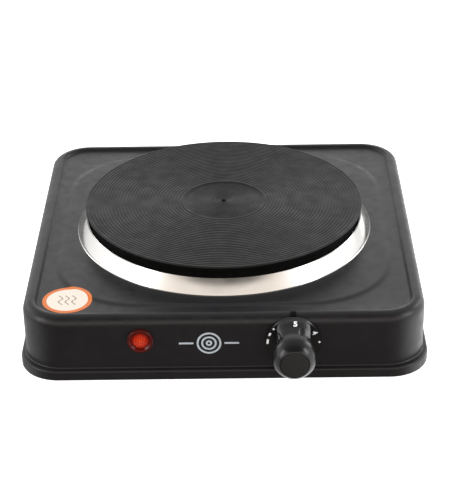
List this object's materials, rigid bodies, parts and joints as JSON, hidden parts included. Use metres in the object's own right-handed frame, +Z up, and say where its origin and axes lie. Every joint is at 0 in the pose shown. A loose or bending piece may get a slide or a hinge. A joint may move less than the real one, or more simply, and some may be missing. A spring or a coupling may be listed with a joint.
{
  "type": "electric hot plate",
  "caption": "Portable electric hot plate with a pressed black steel body, a round cast iron burner, a bright trim ring, a pilot lamp and a turning thermostat knob.",
  "frame": {"origin": "on the table that the feet stand on, under the burner's axis, which is also the middle of the bounding box", "axes": "+Z up, +Y towards the back where the cord gland is, the knob and lamp face -Y, +X to the right seen from the knob's side"},
  "size_m": [0.2562, 0.308, 0.0642],
  "materials": {
    "black_enamel": "satin black powder coat on pressed steel",
    "base_sheet": "galvanised sheet",
    "zinc_steel": "zinc plated steel",
    "foot_rubber": "matt black rubber",
    "gland_rubber": "matt black rubber",
    "sticker_print": "printed vinyl with an orange ring and a pale centre",
    "wall_ink": "screen printed pale grey ink",
    "knob_plastic": "moulded black phenolic",
    "burner_iron": "machined cast iron with black heat resistant coating",
    "magnesia": "pressed magnesia powder",
    "coil_wire": "resistance wire and nickel pins",
    "cover_steel": "mill finish sheet",
    "white_ceramic": "unglazed steatite",
    "ring_steel": "polished stainless steel",
    "shield_sheet": "aluminised sheet",
    "spring_steel": "tempered spring steel",
    "shaft_brass": "turned brass",
    "blade_bronze": "spring bronze strip",
    "bimetal": "rolled bimetal strip",
    "silver_contact": "bright metal",
    "lens_red": "clear red moulded plastic",
    "white_plastic": "white nylon",
    "neon_glass": "clear glass",
    "resistor_body": "lacquered resistor",
    "terminal_brass": "plain brass",
    "wire_brown": "silicone insulation",
    "wire_white": "silicone insulation",
    "wire_blue": "silicone insulation",
    "wire_green": "silicone insulation",
    "wire_black": "silicone insulation"
  },
  "bodies": {
    "body": {"top_housing": "black_enamel", "base_plate": "base_sheet", "corner_brackets": "zinc_steel", "rubber_feet": "foot_rubber", "foot_screws": "zinc_steel", "cord_gland": "gland_rubber", "heat_sticker": "sticker_print", "front_print": "wall_ink", "knob_pointer": "knob_plastic", "burner_plate": "burner_iron", "coil_packing": "magnesia", "heating_coil": "coil_wire", "burner_cover": "cover_steel", "lead_insulator": "white_ceramic", "burner_pins": "coil_wire", "trim_ring": "ring_steel", "centre_stud": "zinc_steel", "heat_shield": "shield_sheet", "retaining_strap": "zinc_steel", "stud_nuts": "zinc_steel", "stud_washer": "zinc_steel", "thermostat_bush": "shaft_brass", "thermostat_frame": "zinc_steel", "thermostat_screws": "zinc_steel", "stack_insulators": "white_ceramic", "spring_blade": "blade_bronze", "contact_blade": "blade_bronze", "bimetal_strip": "bimetal", "bimetal_bead": "white_ceramic", "contact_points": "silver_contact", "stack_rivet": "zinc_steel", "lamp_lens": "lens_red", "lamp_body": "white_plastic", "lamp_clip": "spring_steel", "neon_bulb": "neon_glass", "lamp_resistor": "resistor_body", "terminal_block": "white_plastic", "terminal_tubes": "terminal_brass", "terminal_screws": "zinc_steel", "block_screws": "zinc_steel", "earth_tag": "terminal_brass", "earth_screw": "zinc_steel", "thermal_fuse": "silver_contact", "spade_connectors": "terminal_brass", "live_wire": "wire_brown", "fused_wire": "wire_white", "switched_wire": "wire_white", "neutral_wire": "wire_blue", "earth_wire": "wire_green", "lamp_wires": "wire_black"},
    "dial": {"knob": "knob_plastic", "knob_clip": "spring_steel", "shaft_ring": "spring_steel", "control_shaft": "shaft_brass"},
    "pin": {"push_pin": "white_ceramic"}
  },
  "joints": [
    {"name": "knob_turn", "type": "hinge", "parent": "body", "child": "dial", "pos_m": [0.0428, -0.1253, 0.0308], "axis": [0, 1, 0], "range_deg": [-228, 72]},
    {"name": "pin_travel", "type": "slide", "parent": "body", "child": "pin", "axis": [0, 1, 0], "range_m": [-0.00064, 0.00021]}
  ],
  "couplings": [
    {"joint": "pin_travel", "follows": "knob_turn", "m_per_rad": 0.00015915}
  ]
}
